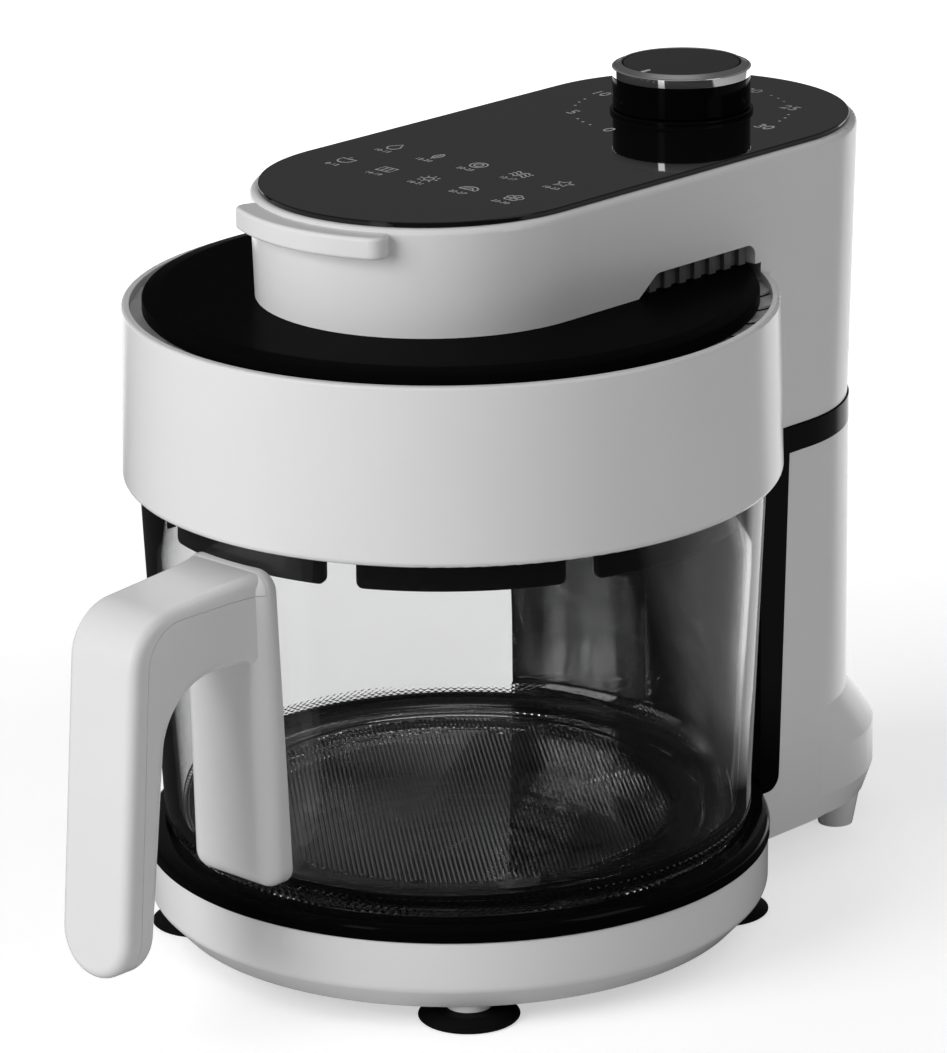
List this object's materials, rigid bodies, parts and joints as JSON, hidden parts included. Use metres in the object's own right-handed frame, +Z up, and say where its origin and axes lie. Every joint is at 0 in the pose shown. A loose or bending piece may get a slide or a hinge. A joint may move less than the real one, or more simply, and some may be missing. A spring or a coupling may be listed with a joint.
{
  "type": "air fryer",
  "caption": "Countertop air fryer with a clear glass bowl in a round base, a looped handle, and a tilting head on a column with a timer knob on top.",
  "frame": {"origin": "on the floor, under the middle of the whole outline", "axes": "+Z up, -Y front with the bowl's handle, +Y back with the column, +X right as seen from the front"},
  "size_m": [0.2308, 0.3763, 0.2924],
  "materials": {
    "white_shell": "glossy",
    "black_gloss": "glossy",
    "black_matte": "satin",
    "grey_grille": "matt",
    "black_rubber": "matt",
    "silicone": "satin",
    "clear_glass": "clear",
    "chrome": "polished",
    "steel": "brushed",
    "aluminium": "satin",
    "pointer_white": "satin"
  },
  "bodies": {
    "base": {"base_shell": "white_shell", "base_plate": "black_matte", "foot_stems": "white_shell", "base_screws": "steel", "chassis_plate": "steel", "seat_tray": "black_gloss", "seat_pads": "silicone", "suction_foot_1": "black_rubber", "suction_foot_2": "black_rubber", "suction_foot_3": "black_rubber", "suction_foot_4": "black_rubber", "column_shell": "white_shell", "column_floor": "white_shell", "rear_foot_right": "white_shell", "rear_foot_left": "white_shell", "column_trim": "black_gloss", "column_band": "black_gloss", "hinge_leaf_base": "steel", "hinge_pin": "steel", "hinge_screws_base": "steel", "mains_inlet": "black_rubber"},
    "head": {"head_shell": "white_shell", "top_panel": "black_gloss", "drum_disc": "black_gloss", "louvre_ring": "white_shell", "outlet_grille_left": "grey_grille", "outlet_grille_right": "grey_grille", "bowl_frame": "black_matte", "bowl_guard": "black_matte", "bowl_seal": "silicone", "fan_grille": "steel", "reflector": "aluminium", "heating_element": "steel", "motor": "steel", "timer": "black_matte", "dial_ring": "black_gloss", "hinge_leaf_head": "steel", "hinge_screws_head": "steel"},
    "impeller": {"hot_air_fan": "aluminium", "cooling_fan": "black_matte", "motor_shaft": "steel"},
    "knob": {"knob_body": "black_gloss", "knob_ring": "chrome", "knob_insert": "black_matte", "knob_pointer": "pointer_white", "timer_spindle": "steel"},
    "bowl": {"glass_bowl": "clear_glass", "handle_body": "white_shell", "handle_cover": "white_shell", "handle_screws": "steel"}
  },
  "joints": [
    {"name": "head_tilt", "type": "hinge", "parent": "base", "child": "head", "pos_m": [0, 0.16615, 0.17], "axis": [-1, 0, 0], "range_deg": [0, 75]},
    {"name": "bowl_turn", "type": "hinge", "parent": "base", "child": "bowl", "pos_m": [0, -0.00925, 0.0369], "axis": [0, 0, 1], "range_deg": [-125, 125]},
    {"name": "knob_turn", "type": "hinge", "parent": "head", "child": "knob", "pos_m": [0, 0.11175, 0.2743], "axis": [0, 0, -1], "range_deg": [0, 270]},
    {"name": "fan_spin", "type": "hinge", "parent": "head", "child": "impeller", "pos_m": [0, -0.00925, 0.19], "axis": [0, 0, 1], "continuous": true}
  ]
}
